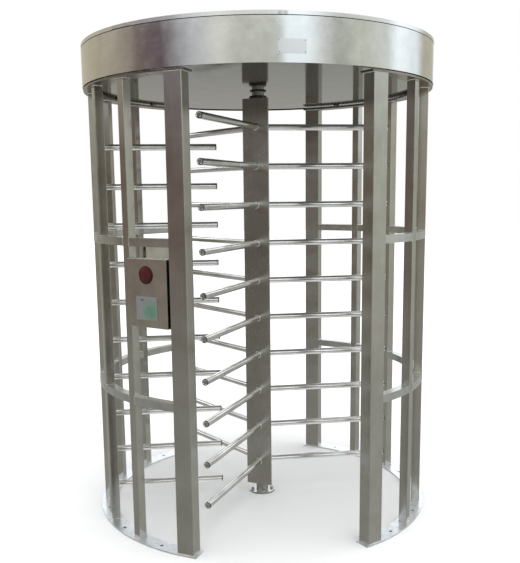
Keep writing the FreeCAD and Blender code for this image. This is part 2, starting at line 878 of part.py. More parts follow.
def signal_board():
    """The circuit board on four standoffs, with the lamp's LED block."""
    width, height, thickness = board_size
    middle_y = (housing_y[0] + housing_y[1]) / 2
    middle_z = (housing_z[0] + housing_z[1]) / 2
    back_x = housing_back_x + box_sheet
    board_x = back_x + board_standoff
    board = block(
        (board_x, board_x + thickness),
        (middle_y - width / 2, middle_y + width / 2),
        (middle_z - height / 2, middle_z + height / 2),
    )
    for y in inset((middle_y - width / 2, middle_y + width / 2), standoff_inset):
        for z in inset((middle_z - height / 2, middle_z + height / 2), standoff_inset):
            board = board.fuse(rod(standoff_radius, V(back_x, y, z), V(board_x, y, z)))
    lamp = rod(
        led_radius,
        V(board_x + thickness, lens_y, lens_z),
        V(board_x + thickness + led_height, lens_y, lens_z),
    )
    return board.fuse(lamp).removeSplitter()


def box_screws():
    screws = []
    for y, z, up in screw_spots:
        shank = screw_line(box_screw_radius, y, z, up, 0.0, box_screw_length - 1.0)
        head = screw_line(box_screw_head_radius, y, z, up, box_screw_head_height, 0.0)
        screws.append(shank.fuse(head))
    return screws


def front_and_rear(shape):
    front = turned(shape, box_normal_angle)
    return front, front.mirror(V(0, 0, 0), V(0, 1, 0))


for node, shape in (
    ("box_housing", box_housing()),
    ("box_cover", box_cover()),
    ("signal_lens", signal_lens()),
    ("reader_panel", reader_panel()),
):
    front, rear = front_and_rear(shape)
    save("front_" + node, front)
    save("rear_" + node, rear)

save("signal_boards", list(front_and_rear(signal_board())))
save("box_screws", [copy for screw in box_screws() for copy in front_and_rear(screw)])
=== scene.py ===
# %% [markdown]
# # A full-height turnstile in brushed stainless steel
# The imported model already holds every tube, plate and bearing at its real size.
# This lesson gives those pieces their finishes and adds what a welder and a finisher
# leave behind: weld beads, turned plugs, a moulded lens, rivets and rounded sheet edges.

# %% Load the frame
import math

import bmesh
import bpy
from mathutils import Matrix, Vector, noise


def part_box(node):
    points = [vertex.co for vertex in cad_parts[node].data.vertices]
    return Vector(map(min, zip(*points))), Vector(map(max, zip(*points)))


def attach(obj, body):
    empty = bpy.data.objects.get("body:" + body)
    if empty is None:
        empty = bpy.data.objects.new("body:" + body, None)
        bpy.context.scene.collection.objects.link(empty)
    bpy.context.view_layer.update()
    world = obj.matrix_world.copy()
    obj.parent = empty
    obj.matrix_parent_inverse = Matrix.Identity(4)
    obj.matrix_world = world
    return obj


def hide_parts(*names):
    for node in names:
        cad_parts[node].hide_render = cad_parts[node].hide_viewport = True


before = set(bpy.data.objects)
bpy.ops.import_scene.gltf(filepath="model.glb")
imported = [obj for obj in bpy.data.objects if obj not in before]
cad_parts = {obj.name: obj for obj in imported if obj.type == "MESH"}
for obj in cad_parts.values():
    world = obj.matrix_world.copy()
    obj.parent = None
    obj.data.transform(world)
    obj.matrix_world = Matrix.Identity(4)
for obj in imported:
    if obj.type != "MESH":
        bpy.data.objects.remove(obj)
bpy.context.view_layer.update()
scene = bpy.context.scene

# %% [markdown]
# ## The camera
# A turnstile is as tall as a doorway, so it is seen from about three metres off, at eye
# height and tilted a little down. The camera comes first, because how large a detail
# looks decides how finely it has to be modelled.

# %% Camera
EYE = Vector((-0.4416, -3.7751, 1.5205))
TURN, TILT, ROLL = math.radians(-6.6385), math.radians(-9.1877), math.radians(-0.6286)
LENS_MM, SHIFT_UP = 48.7, 0.0666


def make_camera():
    data = bpy.data.cameras.new("eye_level")
    data.lens = LENS_MM
    data.shift_y = SHIFT_UP
    camera = bpy.data.objects.new("eye_level", data)
    turn = Matrix.Rotation(TURN, 4, "Z")
    tilt = Matrix.Rotation(math.pi / 2 + TILT, 4, "X")
    roll = Matrix.Rotation(ROLL, 4, "Z")
    camera.matrix_world = Matrix.Translation(EYE) @ turn @ tilt @ roll
    scene.collection.objects.link(camera)
    scene.camera = camera
    return camera


print("camera", make_camera().name)

# %% [markdown]
# ## Colours and nodes
# Colours are written as the hex values a painter would pick on a screen, so they have to
# be turned from sRGB to the linear values that a shader works in. One small function
# adds any node, sets its inputs and links them, which keeps each material short.

# %% Colour and node helpers
MM = 0.001


def paint(hex_value):
    """A screen colour such as "8A8F91" as linear red, green and blue, and an alpha of 1."""
    channels = []
    for i in (0, 2, 4):
        c = int(hex_value[i : i + 2], 16) / 255
        channels.append(c / 12.92 if c <= 0.04045 else ((c + 0.055) / 1.055) ** 2.4)
    return (*channels, 1.0)


def add(tree, kind, settings=None, **inputs):
    """Add a node. settings are its properties; inputs are values or sockets to link.

    An input has the node's own name for it, with _ for a space, or i and its number.
    """
    node = tree.nodes.new(kind)
    for name, value in (settings or {}).items():
        setattr(node, name, value)
    for name, value in inputs.items():
        key = int(name[1:]) if name[0] == "i" and name[1:].isdigit() else name.replace("_", " ")
        if isinstance(value, bpy.types.NodeSocket):
            tree.links.new(value, node.inputs[key])
        else:
            node.inputs[key].default_value = value
    return node


def ramp(tree, factor, stops):
    """A colour ramp through (position, colour) stops."""
    node = add(tree, "ShaderNodeValToRGB", Fac=factor)
    elements = node.color_ramp.elements
    while len(elements) < len(stops):
        elements.new(0.5)
    for element, (position, colour) in zip(elements, stops):
        element.position = position
        element.color = colour
    return node.outputs["Color"]


def speckle(tree, place, size, detail, roughness=0.5):
    """Noise from 0 to 1 with patches of about a size in mm."""
    node = add(tree, "ShaderNodeTexNoise", Vector=place, Scale=1 / (size * MM), Detail=detail)
    node.inputs["Roughness"].default_value = roughness
    return node.outputs["Fac"]


def calc(tree, operation, *values):
    """A maths node on up to three values or sockets."""
    inputs = {"i%d" % i: value for i, value in enumerate(values)}
    return add(tree, "ShaderNodeMath", {"operation": operation}, **inputs).outputs[0]


def mix_values(tree, share, first, second):
    node = add(tree, "ShaderNodeMix", {"data_type": "FLOAT"}, Factor=share, i2=first, i3=second)
    return node.outputs[0]


def mix_colours(tree, share, first, second):
    node = add(tree, "ShaderNodeMix", {"data_type": "RGBA"}, Factor=share, i6=first, i7=second)
    return node.outputs[2]


def remap(tree, value, low, high, start=0.0, end=1.0, easing="LINEAR"):
    """Turn a value that runs from start to end into one that runs from low to high."""
    node = add(
        tree, "ShaderNodeMapRange", {"interpolation_type": easing}, Value=value,
        From_Min=start, From_Max=end, To_Min=low, To_Max=high,
    )
    return node.outputs["Result"]


def connect(tree, shader, colour, gloss):
    tree.links.new(colour, shader.inputs["Base Color"])
    tree.links.new(gloss, shader.inputs["Roughness"])


def add_relief(tree, shader, height, strength, depth):
    """Bump from a height of 0 to 1, with its depth in mm."""
    bump = add(tree, "ShaderNodeBump", Strength=strength, Distance=depth * MM, Height=height)
    tree.links.new(bump.outputs["Normal"], shader.inputs["Normal"])


def new_material(name):
    material = bpy.data.materials.new(name)
    material.use_nodes = True
    tree = material.node_tree
    shader = tree.nodes["Principled BSDF"]
    return material, tree, shader


print("bare steel is", [round(c, 3) for c in paint("8A8F91")[:3]])

# %% [markdown]
# ## Brushed stainless steel
# Stainless sheet and tube for shop fittings is ground with a belt: fine parallel
# scratches, all along the piece. The eye gets a satin gloss that blurs reflections, with
# faint streaks in it, and cloudy patches where hands and the grinder have been.
# The grain is a noise squeezed across the brushing and stretched along it. Real grit
# leaves lines 0.05 to 0.1 mm wide, far too fine to show, so they are drawn 1.5 mm wide.

# %% Brushed steel
SEAM_SHADE = "1E1C1A"


def in_seam(tree, place, radius, height):
    """1 on what lies inside a radius and below a height: the shaded gap under a lid."""
    flat = add(
        tree, "ShaderNodeVectorMath", {"operation": "MULTIPLY"}, i0=place, i1=(1, 1, 0)
    ).outputs[0]
    reach = add(tree, "ShaderNodeVectorMath", {"operation": "LENGTH"}, i0=flat).outputs["Value"]
    level = add(tree, "ShaderNodeSeparateXYZ", Vector=place).outputs["Z"]
    inside = calc(tree, "LESS_THAN", reach, radius)
    below = calc(tree, "LESS_THAN", level, height)
    return calc(tree, "MULTIPLY", inside, below)


def brushed_steel(
    name, light, dark, rough, along,
    grain=1.5, length=220, cloud=140, bump=0.05, cloudy=0.6, seam=None,
):
    """Steel brushed along X or Z, or XY where it is bent round the rotor. Sizes in mm.

    cloudy is the patches' share of the tone. seam is a radius and a height in metres:
    the steel inside the one and below the other is in shade.
    """
    material, tree, shader = new_material(name)
    place = add(tree, "ShaderNodeTexCoord").outputs["Object"]
    across = 1 / (grain * MM)
    stretch = [across, across, across]
    for axis in along:
        stretch["XYZ".index(axis)] = 1 / (length * MM)
    lines_at = add(tree, "ShaderNodeMapping", Vector=place, Scale=stretch).outputs["Vector"]
    lines = add(
        tree, "ShaderNodeTexNoise", Vector=lines_at, Scale=1.0, Detail=3.0, Roughness=0.6
    ).outputs["Fac"]
    patches = speckle(tree, place, cloud, 4.0, 0.62)
    both = mix_values(tree, cloudy, lines, patches)
    colour = ramp(tree, both, [(0.32, paint(dark)), (0.66, paint(light))])
    if seam:
        colour = mix_colours(tree, in_seam(tree, place, *seam), colour, paint(SEAM_SHADE))
    connect(tree, shader, colour, remap(tree, both, rough - 0.05, rough + 0.07, 0.3, 0.7))
    add_relief(tree, shader, lines, bump, 0.2)
    shader.inputs["Metallic"].default_value = 1.0
    return material


SEAM_INSET, SEAM_RISE = 0.8 * MM, 3.1 * MM
band_top = max(v.co.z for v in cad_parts["canopy_band"].data.vertices)
SEAM = (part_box("canopy_lid")[1].x - SEAM_INSET, band_top + SEAM_RISE)
steel = {
    "post": brushed_steel("belt_ground_stainless_tube", "BCBBB5", "A8A69E", 0.17, "Z"),
    "column": brushed_steel("belt_ground_stainless_column", "B2B0A9", "A19F98", 0.24, "Z"),
    "rail": brushed_steel("belt_ground_stainless_rail", "C9CBC8", "B2B3AF", 0.2, "XY", cloud=60),
    "head": brushed_steel("shaded_stainless_strip", "8B857B", "726C62", 0.24, "XY", cloud=60),
    "band": brushed_steel(
        "rolled_stainless_band", "D0D0CC", "BEBEB9", 0.13, "XY", cloud=90, cloudy=0.82, seam=SEAM
    ),
    "lid": brushed_steel(
        "brushed_lid_sheet", "DCDCDA", "CBCBC8", 0.2, "X", cloud=300, cloudy=0.4, seam=SEAM
    ),
    "box": brushed_steel("brushed_stainless_cover", "C8C4BA", "AFAAA0", 0.2, "Z", cloud=90),
}
print("brushed steels:", sorted(steel))

# %% [markdown]
# ## Pickled plate, polished tube and the rest of the metals
# The floor strips are thick plate with its grey mill skin, cleaned in acid, so they are
# paler and cloudier than the ground tube. The bars are drawn tube, polished until they
# mirror the room as bright and dark stripes, with fine scuffs round them from the buff.

# %% Plate, bright sheet and polished tube


def mill_plate(name, light, dark, rough):
    material, tree, shader = new_material(name)
    place = add(tree, "ShaderNodeTexCoord").outputs["Object"]
    skin = speckle(tree, place, 45, 6.0, 0.7)
    spots = add(tree, "ShaderNodeTexVoronoi", Vector=place, Scale=1 / (18 * MM)).outputs["Distance"]
    both = mix_values(tree, 0.25, skin, spots)
    colour = ramp(tree, both, [(0.3, paint(dark)), (0.68, paint(light))])
    connect(tree, shader, colour, remap(tree, both, rough + 0.12, rough - 0.1))
    add_relief(tree, shader, skin, 0.12, 0.3)
    shader.inputs["Metallic"].default_value = 1.0
    return material


def polished_steel(name, light, dark, rough, scuff=9):
    """Smooth metal with scuffs of a size in mm, and larger patches from handling."""
    material, tree, shader = new_material(name)
    place = add(tree, "ShaderNodeTexCoord").outputs["Object"]
    marks = speckle(tree, place, scuff, 5.0, 0.65)
    handling = speckle(tree, place, 120, 3.0)
    both = mix_values(tree, 0.5, marks, handling)
    colour = ramp(tree, both, [(0.35, paint(dark)), (0.62, paint(light))])
    connect(tree, shader, colour, remap(tree, both, rough + 0.06, rough, 0.35, 0.65))
    shader.inputs["Metallic"].default_value = 1.0
    return material


finish = {
    "plate": mill_plate("pickled_stainless_plate", "E8ECF0", "CCD1D6", 0.3),
    "weld": mill_plate("pickled_weld_bead", "EDEEEC", "B9B8B2", 0.34),
    "ceiling": polished_steel("bright_rolled_ceiling_sheet", "6C6F6C", "626562", 0.06, 40),
    "bar": polished_steel("buffed_stainless_tube", "E2E2E1", "C4C4C1", 0.12),
    "plug": polished_steel("turned_steel_plug", "6E6C66", "4E4C48", 0.3),
    "machined": polished_steel("turned_shaft_steel", "A9A9A6", "8D8D8A", 0.16),
    "collar": polished_steel("blackened_steel_collar", "4A4846", "343230", 0.28),
    "zinc": mill_plate("zinc_plated_fastener", "C4C8CB", "A7ABAF", 0.34),
    "pawl": polished_steel("ground_tool_steel", "8E8E90", "77777A", 0.25),
    "bronze": polished_steel("bearing_bronze", "C49A5E", "A67D45", 0.28),
    "nameplate": brushed_steel("satin_aluminium_plate", "DADBDC", "C6C8CA", 0.34, "X", grain=1.0),
}
print("other metals:", sorted(finish))

# %% [markdown]
# ## Paints and plastics
# The lock's plate and the control box wear a powder coat, which cures to a fine orange
# peel. The lens is moulded deep red polycarbonate, IOR 1.59, with a finely matted skin,
# so that its highlight stays soft and faint. The reader's panel is grey acrylic, IOR
# 1.49, printed from behind with a green field.

# %% Paint and plastic


def moulded(name, light, dark, rough, ior, peel=2.0, bump=0.08, shine=0.5):
    """A coloured surface with a fine relief; peel is the size of its texture in mm."""
    material, tree, shader = new_material(name)
    place = add(tree, "ShaderNodeTexCoord").outputs["Object"]
    relief = speckle(tree, place, peel, 2.0)
    tone = speckle(tree, place, 60, 4.0)
    colour = ramp(tree, tone, [(0.3, paint(dark)), (0.7, paint(light))])
    connect(tree, shader, colour, remap(tree, tone, rough - 0.04, rough + 0.06))
    add_relief(tree, shader, relief, bump, 0.15)
    shader.inputs["IOR"].default_value = ior
    shader.inputs["Specular IOR Level"].default_value = shine
    return material


# Painted shade: the dark sleeves in the anchor holes stand in for the shade inside them.
finish["drilled"] = moulded("oily_drilled_bore", "26241F", "14130F", 0.6, 1.5, peel=1.0)
finish["coat"] = moulded("grey_powder_coat", "7C8285", "6A7073", 0.45, 1.5)
finish["enamel"] = moulded("black_coil_enamel", "1E1E20", "141415", 0.35, 1.5, peel=1.2)
finish["board"] = moulded("green_solder_resist", "1D6B3A", "124F2A", 0.35, 1.5, peel=4)
finish["lens"] = moulded(
    "deep_red_polycarbonate", "3A080D", "240406", 0.3, 1.59, peel=6, bump=0.2, shine=0.2
)
finish["led"] = moulded(
    "red_led_tip", "6A161E", "480A12", 0.25, 1.59, peel=3, bump=0.1, shine=0.3
)
finish["bezel"] = moulded("black_moulded_abs", "2A2A2B", "1C1C1D", 0.5, 1.53, peel=0.8)
print("coats and plastics ready")

# %% [markdown]
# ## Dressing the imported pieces
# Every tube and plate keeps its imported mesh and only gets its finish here. Folded sheet
# never has a razor edge, so the folded and cut pieces also get a small bevel. It is a
# modifier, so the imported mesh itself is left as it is; a weld modifier before it joins
# the corners that the file format splits.

# %% Finishes by node
finish_of = {
    "base_strip_left": finish["plate"],
    "base_strip_right": finish["plate"],
    "head_strip_left": steel["head"],
    "head_strip_right": steel["head"],
    "lower_rails": steel["rail"],
    "upper_rails": steel["rail"],
    "rotor_column": steel["column"],
    "column_end_plates": steel["column"],
    "canopy_band": steel["band"],
    "canopy_lid": steel["lid"],
    "lid_clamps": steel["rail"],
    "ceiling_plate": finish["ceiling"],
    "comb_bars": finish["bar"],
    "rotor_shaft": finish["machined"],
    "floor_flange": finish["machined"],
    "index_disc": finish["machined"],
    "counter_wheel": finish["bezel"],
    "lower_bush": finish["bronze"],
    "upper_bush": finish["bronze"],
    "canopy_fixings": finish["zinc"],
    "floor_screws": finish["zinc"],
    "box_screws": finish["zinc"],
    "head_beams": finish["zinc"],
    "lock_chassis": finish["coat"],
    "control_box": finish["coat"],
    "solenoids": finish["enamel"],
    "encoder_body": finish["enamel"],
    "signal_boards": finish["board"],
}
for side in ("left", "right"):
    for number in range(1, 8):
        finish_of["post_%s_%d" % (side, number)] = steel["post"]
for number in (1, 2, 3):
    finish_of["wing_bars_%d" % number] = finish["bar"]
for way in ("entry", "exit"):
    finish_of["lock_pawl_" + way] = finish["pawl"]
    finish_of["plunger_" + way] = finish["pawl"]
for place in ("front", "rear"):
    finish_of[place + "_box_cover"] = steel["box"]
    finish_of[place + "_box_housing"] = steel["box"]

for node, material in finish_of.items():
    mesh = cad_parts[node].data
    mesh.materials.clear()
    mesh.materials.append(material)
print("dressed", len(finish_of), "nodes")

# %% Rounded sheet edges
EDGE_ROUND = {
    "base_strip_left": 0.8,
    "base_strip_right": 0.8,
    "front_box_cover": 2.2,
    "rear_box_cover": 2.2,
    "lock_chassis": 0.8,
    "control_box": 1.5,
}
for node, radius in EDGE_ROUND.items():
    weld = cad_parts[node].modifiers.new("join_corners", "WELD")
    weld.merge_threshold = 0.01 * MM
    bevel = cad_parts[node].modifiers.new("round_edges", "BEVEL")
    bevel.width = radius * MM
    bevel.segments = 3
    bevel.limit_method = "ANGLE"
    bevel.angle_limit = math.radians(50)
    bevel.use_clamp_overlap = True
    bevel.harden_normals = True
print("rounded the edges of", len(EDGE_ROUND), "nodes")

# %% [markdown]
# ## Measuring the frame
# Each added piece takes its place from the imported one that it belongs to. The posts
# stand on a circle, so the middle of a post's box gives its angle and its distance.
# The signal boxes face outwards between two posts, so they are measured in their own
# axes: x outwards, y across and z up.

# %% Places read from the frame
UP, OUT = Vector((0, 0, 1)), Vector((1, 0, 0))


def on_circle(angle, radius, z):
    return Vector((radius * math.cos(angle), radius * math.sin(angle), z))


def middle(node):
    low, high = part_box(node)
    return (low + high) / 2


def angle_of(node):
    return math.atan2(middle(node).y, middle(node).x)


def box_in_axes(node, angle):
    """A node's lowest and highest corner in axes turned by angle about the rotor."""
    turn = Matrix.Rotation(-angle, 3, "Z")
    corners = [turn @ v.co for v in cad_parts[node].data.vertices]
    low = Vector([min(c[i] for c in corners) for i in range(3)])
    high = Vector([max(c[i] for c in corners) for i in range(3)])
    return low, high


post_nodes = ["post_%s_%d" % (s, n) for s in ("left", "right") for n in range(1, 8)]
post_ring = middle("post_left_4").xy.length
strip_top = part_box("base_strip_left")[1].z
head_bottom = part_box("head_strip_left")[0].z
BARS = 10


def bar_heights(node, radius):
    low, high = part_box(node)
    first, last = low.z + radius, high.z - radius
    return [first + i * (last - first) / (BARS - 1) for i in range(BARS)]


bar_radius = 15 * MM
wing_heights = bar_heights("wing_bars_1", bar_radius)
comb_heights = bar_heights("comb_bars", bar_radius)
wing_angles = [angle_of("wing_bars_%d" % n) for n in (1, 2, 3)]
print("posts on a circle of", round(post_ring, 4), "m")
print("wings at", [round(a, 3) for a in wing_angles], "radians")

# %% [markdown]
# ## Making pieces
# A piece is a mesh made in code, put on the body that it moves with. Round things are
# turned on a lathe: a profile of radius and height, swept round an axis.

# %% Piece and lathe helpers


def make_piece(name, bm, body, materials, stands_for=(), place=None, smooth=True):
    mesh = bpy.data.meshes.new(name)
    bmesh.ops.recalc_face_normals(bm, faces=bm.faces)
    for face in bm.faces:
        face.smooth = smooth
    bm.to_mesh(mesh)
    bm.free()
    for material in materials:
        mesh.materials.append(material)
    piece = bpy.data.objects.new(name, mesh)
    scene.collection.objects.link(piece)
    if place is not None:
        piece.matrix_world = place
    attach(piece, body)
    if stands_for:
        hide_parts(*stands_for)
    return piece


def ring_points(centre, axis, radius, count):
    """Points evenly round a circle about centre, in the plane across a unit axis."""
    side = axis.orthogonal().normalized()
    other = axis.cross(side)
    angles = [2 * math.pi * i / count for i in range(count)]
    return [centre + (side * math.cos(a) + other * math.sin(a)) * radius for a in angles]


def lathe(bm, profile, origin, axis, steps=32, material=0):
    """Turn (radius, height) points round axis; a radius of 0 closes the end."""
    axis = Vector(axis).normalized()
    rings = []
    for radius, height in profile:
        centre = Vector(origin) + axis * height
        points = [centre] if radius == 0 else ring_points(centre, axis, radius, steps)
        rings.append([bm.verts.new(point) for point in points])
    for lower, upper in zip(rings, rings[1:]):
        for i in range(steps):
            j = (i + 1) % steps
            corners = [lower[i % len(lower)], lower[j % len(lower)]]
            corners += [upper[j % len(upper)], upper[i % len(upper)]]
            unique = list(dict.fromkeys(corners))
            if len(unique) > 2:
                bm.faces.new(unique).material_index = material


# %% [markdown]
# ## Bar end plugs
# Each bar is closed by a turned steel plug, so that nobody meets an open tube. The turner
# leaves a groove where it meets the tube, a rounded shoulder, and a dished middle that
# catches the light. A flat disc would be quicker, but its edge would look cut from card.

# %% Plugs
PLUG_DEEP, PLUG_CAP, PLUG_TAIL = 5.5 * MM, 3.0 * MM, 8 * MM
PLUG_SHOULDER, PLUG_SIDES = 3.4 * MM, 28
PACKED_PLUG_FLAT = 11 * MM


def add_plug(bm, face, outward):
    """A plug in the end of a bar: face is the middle of the bar's end."""
    r, rise = bar_radius, PLUG_DEEP - PLUG_CAP
    core, groove = r * 0.8, r * 0.965
    rim = [(0, -PLUG_TAIL), (core, -PLUG_TAIL), (core, 0), (groove, 0), (groove, 0.5 * MM)]
    rim += [(r, 0.9 * MM), (r, PLUG_CAP)]
    for i in range(1, 6):
        a = math.radians(18 * i)
        rim.append((r - PLUG_SHOULDER * (1 - math.cos(a)), PLUG_CAP + rise * math.sin(a)))
    lathe(bm, rim, face, outward, PLUG_SIDES, 0)
    dish = [(r - PLUG_SHOULDER, 0), (r * 0.68, 1.0), (r * 0.62, 1.6), (r * 0.35, 1.1), (0, 0.9)]
    dish = [(radius, PLUG_DEEP - depth * MM) for radius, depth in dish]
    lathe(bm, dish, face, outward, PLUG_SIDES, 1)


plug_metals = [finish["plug"], finish["bar"]]
plugs = bmesh.new()
farthest = max(v.co.xy.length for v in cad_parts["wing_plugs"].data.vertices if v.co.x > 0)
tip_radius = math.sqrt(farthest**2 - PACKED_PLUG_FLAT**2) - PLUG_DEEP
for angle in wing_angles:
    out = on_circle(angle, 1, 0)
    for z in wing_heights:
        add_plug(plugs, out * tip_radius + UP * z, out)
make_piece("wing_end_plugs", plugs, "rotor", plug_metals, ["wing_plugs"])

plugs = bmesh.new()
comb_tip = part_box("comb_plugs")[1].x - PLUG_DEEP
for z in comb_heights:
    add_plug(plugs, Vector((comb_tip, 0, z)), OUT)
make_piece("comb_end_plugs", plugs, "frame", plug_metals, ["comb_plugs"])
print("plugs for", BARS * 4, "bars, tips at", round(tip_radius, 4), "m")

# %% [markdown]
# ## Weld beads
# Tube meets plate in a fillet weld: a row of overlapping puddles about 3 mm across, one
# every few millimetres. The bead is swept as a thin round section along its path, and
# its thickness follows those ripples with some noise, as a hand-held torch leaves it.

# %% Weld bead helpers
RIPPLE, BEAD_SIDES = 3.2 * MM, 8
WANDER, WANDER_SIZE = 0.28, 6 * MM
CREST, TROUGH = 0.12, -0.06


def walk(corners, step):
    """Points a step apart along the straight sides of a closed loop of corners."""
    points = []
    for start, end in zip(corners, corners[1:] + corners[:1]):
        count = max(2, round((end - start).length / step))
        points += [start.lerp(end, i / count) for i in range(count)]
    return points


def add_bead(bm, points, radius):
    """Sweep a rippled bead round a closed loop of points."""
    rings = []
    for i, point in enumerate(points):
        along = (points[(i + 1) % len(points)] - points[i - 1]).normalized()
        ripple = 1 + WANDER * noise.noise(point / WANDER_SIZE)
        ripple += CREST if i % 2 else TROUGH
        corners = ring_points(point, along, radius * ripple, BEAD_SIDES)
        rings.append([bm.verts.new(corner) for corner in corners])
    for ring, following in zip(rings, rings[1:] + rings[:1]):
        shift = min(range(BEAD_SIDES), key=lambda s: (following[s].co - ring[0].co).length)
        for k in range(BEAD_SIDES):
            m = (k + 1) % BEAD_SIDES
            ahead = [following[(j + shift) % BEAD_SIDES] for j in (m, k)]
            bm.faces.new((ring[k], ring[m], *ahead))


def rounded_rectangle(half_u, half_v, corner, bend, steps):
    """(u, v) points round a rectangle, bent about centres that lie a corner inside it."""
    points = []
    for sign_u, sign_v, start in ((1, 1, 0), (-1, 1, 90), (-1, -1, 180), (1, -1, 270)):
        for i in range(steps + 1):
            a = math.radians(start + 90 * i / steps)
            u = sign_u * (half_u - corner) + bend * math.cos(a)
            v = sign_v * (half_v - corner) + bend * math.sin(a)
            points.append((u, v))
    return points


def rounded_loop(centre, u, v, half_u, half_v, corner):
    """A rounded rectangle about centre, in the plane of u and v, a ripple between points."""
    outline = rounded_rectangle(half_u, half_v, corner, corner, 4)
    return walk([centre + u * at_u + v * at_v for at_u, at_v in outline], RIPPLE)


# %% Welds at the posts' feet and heads
WIDE, NARROW = (60 * MM, 80 * MM), (40 * MM, 40 * MM)
POST_CORNER, POST_BEAD = 3 * MM, 2.6 * MM


def post_axes(node):
    """A post's outward and sideways directions, and half its size along each."""
    out = on_circle(angle_of(node), 1, 0)
    across = Vector((-out.y, out.x, 0))
    half_out, half_across = (size / 2 for size in (WIDE if node[-1] in "17" else NARROW))
    return out, across, half_out, half_across


feet, heads = bmesh.new(), bmesh.new()
for node in post_nodes:
    out, across, half_out, half_across = post_axes(node)
    for bm, z in ((feet, strip_top), (heads, head_bottom)):
        centre = out * post_ring + UP * z
        loop = rounded_loop(centre, out, across, half_out, half_across, POST_CORNER)
        add_bead(bm, loop, POST_BEAD)
make_piece("post_foot_welds", feet, "frame", [finish["weld"]])
make_piece("post_head_welds", heads, "frame", [finish["weld"]])
print("welds at", 2 * len(post_nodes), "post ends")

# %% [markdown]
# ## Drilled holes
# The anchor holes are cut through the strips with a drill after pickling. Each bore gets
# a thin dark sleeve closed at its foot: painted shade for the shade inside a narrow hole.
# An empty hole reads as a black dot from afar because its inside lies in shade.

# %% Anchor holes
ANCHOR_RING, ANCHOR_BORE, ANCHOR_TURNS = 788 * MM, 7.0 * MM, (9.65, 28.95, 48.95)
SKIN_DEPTH, TOP_GAP, FOOT_GAP = 0.15 * MM, 0.4 * MM, 0.3 * MM
inside, top = ANCHOR_BORE - SKIN_DEPTH, strip_top - TOP_GAP
# Each sleeve and the disc that closes its foot are painted shade over the hole's wall and the
# floor.
bore = [(ANCHOR_BORE, FOOT_GAP), (ANCHOR_BORE, top), (inside, top), (inside, FOOT_GAP)]
bm = bmesh.new()
for turn in ANCHOR_TURNS:
    for degrees in (turn, -turn, 180 + turn, 180 - turn):
        at = on_circle(math.radians(degrees), ANCHOR_RING, 0)
        lathe(bm, bore + [(0, FOOT_GAP)], at, UP, 24)
make_piece("drilled_bores", bm, "frame", [finish["drilled"]])
print("anchor holes:", 4 * len(ANCHOR_TURNS))

# %% Welds where rails and bars meet the posts
RAIL_RADIAL, RAIL_HEIGHT, RAIL_CORNER = 40 * MM, 35 * MM, 1.5 * MM
RAIL_BEAD, COMB_BEAD, WING_BEAD = 1.5 * MM, 1.9 * MM, 2.6 * MM
rail_welds = bmesh.new()
for rails in ("lower_rails", "upper_rails"):
    z = middle(rails).z
    for node in post_nodes:
        out, across, _, half_across = post_axes(node)
        for sign in {"1": (1,), "7": (-1,)}.get(node[-1], (1, -1)):
            centre = out * post_ring + across * sign * half_across + UP * z
            loop = rounded_loop(centre, out, UP, RAIL_RADIAL / 2, RAIL_HEIGHT / 2, RAIL_CORNER)
            add_bead(rail_welds, loop, RAIL_BEAD)
make_piece("rail_welds", rail_welds, "frame", [finish["weld"]])


def bar_weld(bm, point, along, bead):
    count = round(2 * math.pi * bar_radius / RIPPLE)
    add_bead(bm, ring_points(point, along, bar_radius, count), bead)


comb_welds, wing_welds = bmesh.new(), bmesh.new()
comb_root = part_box("comb_bars")[0].x
for z in comb_heights:
    bar_weld(comb_welds, Vector((comb_root, 0, z)), OUT, COMB_BEAD)
wing_root = min(v.co.xy.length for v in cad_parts["wing_bars_1"].data.vertices)
for angle in wing_angles:
    out = on_circle(angle, 1, 0)
    for z in wing_heights:
        bar_weld(wing_welds, out * wing_root + UP * z, out, WING_BEAD)
make_piece("comb_root_welds", comb_welds, "frame", [finish["weld"]])
make_piece("wing_root_welds", wing_welds, "rotor", [finish["weld"]])
print("rail, comb and wing welds made; wing roots at", round(wing_root, 4), "m")

# %% [markdown]
# ## The signal boxes' fronts
# The lens is a shallow moulded dome over a cluster of light-emitting diodes, whose round
# tips show through the red as a honeycomb. A thin moulded rim covers the edge of the cut
# in the sheet. Below it sits the reader's window, a clear sheet with a soft printed field.

# %% Signal lenses
BOX_POSTS = {"front": ("post_left_6", "post_left_7"), "rear": ("post_left_1", "post_left_2")}
LENS_FLANGE, LENS_SEAT, LENS_RIM, LENS_RISE = 4 * MM, 2.1 * MM, 1.5 * MM, 4.5 * MM
LED_PITCH, LED_RADIUS, LED_FOOT = 7.0 * MM, 2.5 * MM, 1.1 * MM
LED_ROW_STEP, LED_DOME, LED_FIELD = 0.866, 0.45, 0.84
RING_OUTLINE = [(0.2, 0.1), (0.2, 1.6), (0.8, 2.1), (1.9, 1.7), (2.4, 1.0), (2.5, 0.05)]


def box_axes(place):
    """Turns the box's own axes, x outwards, y across and z up, to where the box stands."""
    turn = sum(angle_of(post) for post in BOX_POSTS[place]) / 2
    return turn, Matrix.Rotation(turn, 4, "Z")


def on_cover(place, turn, node):
    """A node's lowest and highest corner, and its middle on the cover's face."""
    low, high = box_in_axes(node, turn)
    face = box_in_axes(place + "_box_cover", turn)[1].x
    return low, high, Vector((face, (low.y + high.y) / 2, (low.z + high.z) / 2))


def add_leds(bm, centre, radius):
    """Rounded tips in a honeycomb, just under the lens's dome."""
    tip = [
        (LED_RADIUS * math.cos(a), LED_RADIUS * LED_DOME * math.sin(a))
        for a in (0, math.radians(30), math.radians(60))
    ]
    rows = int(radius / (LED_PITCH * LED_ROW_STEP))
    for row in range(-rows, rows + 1):
        for column in range(-5, 6):
            y, z = (column + 0.5 * (row % 2)) * LED_PITCH, row * LED_PITCH * LED_ROW_STEP
            reach = math.hypot(y, z) / radius
            if reach <= LED_FIELD:
                at = centre + Vector((LED_FOOT + LENS_RISE * math.sqrt(1 - reach**2), y, z))
                lathe(bm, tip + [(0, LED_RADIUS * LED_DOME)], at, OUT, 12, 1)


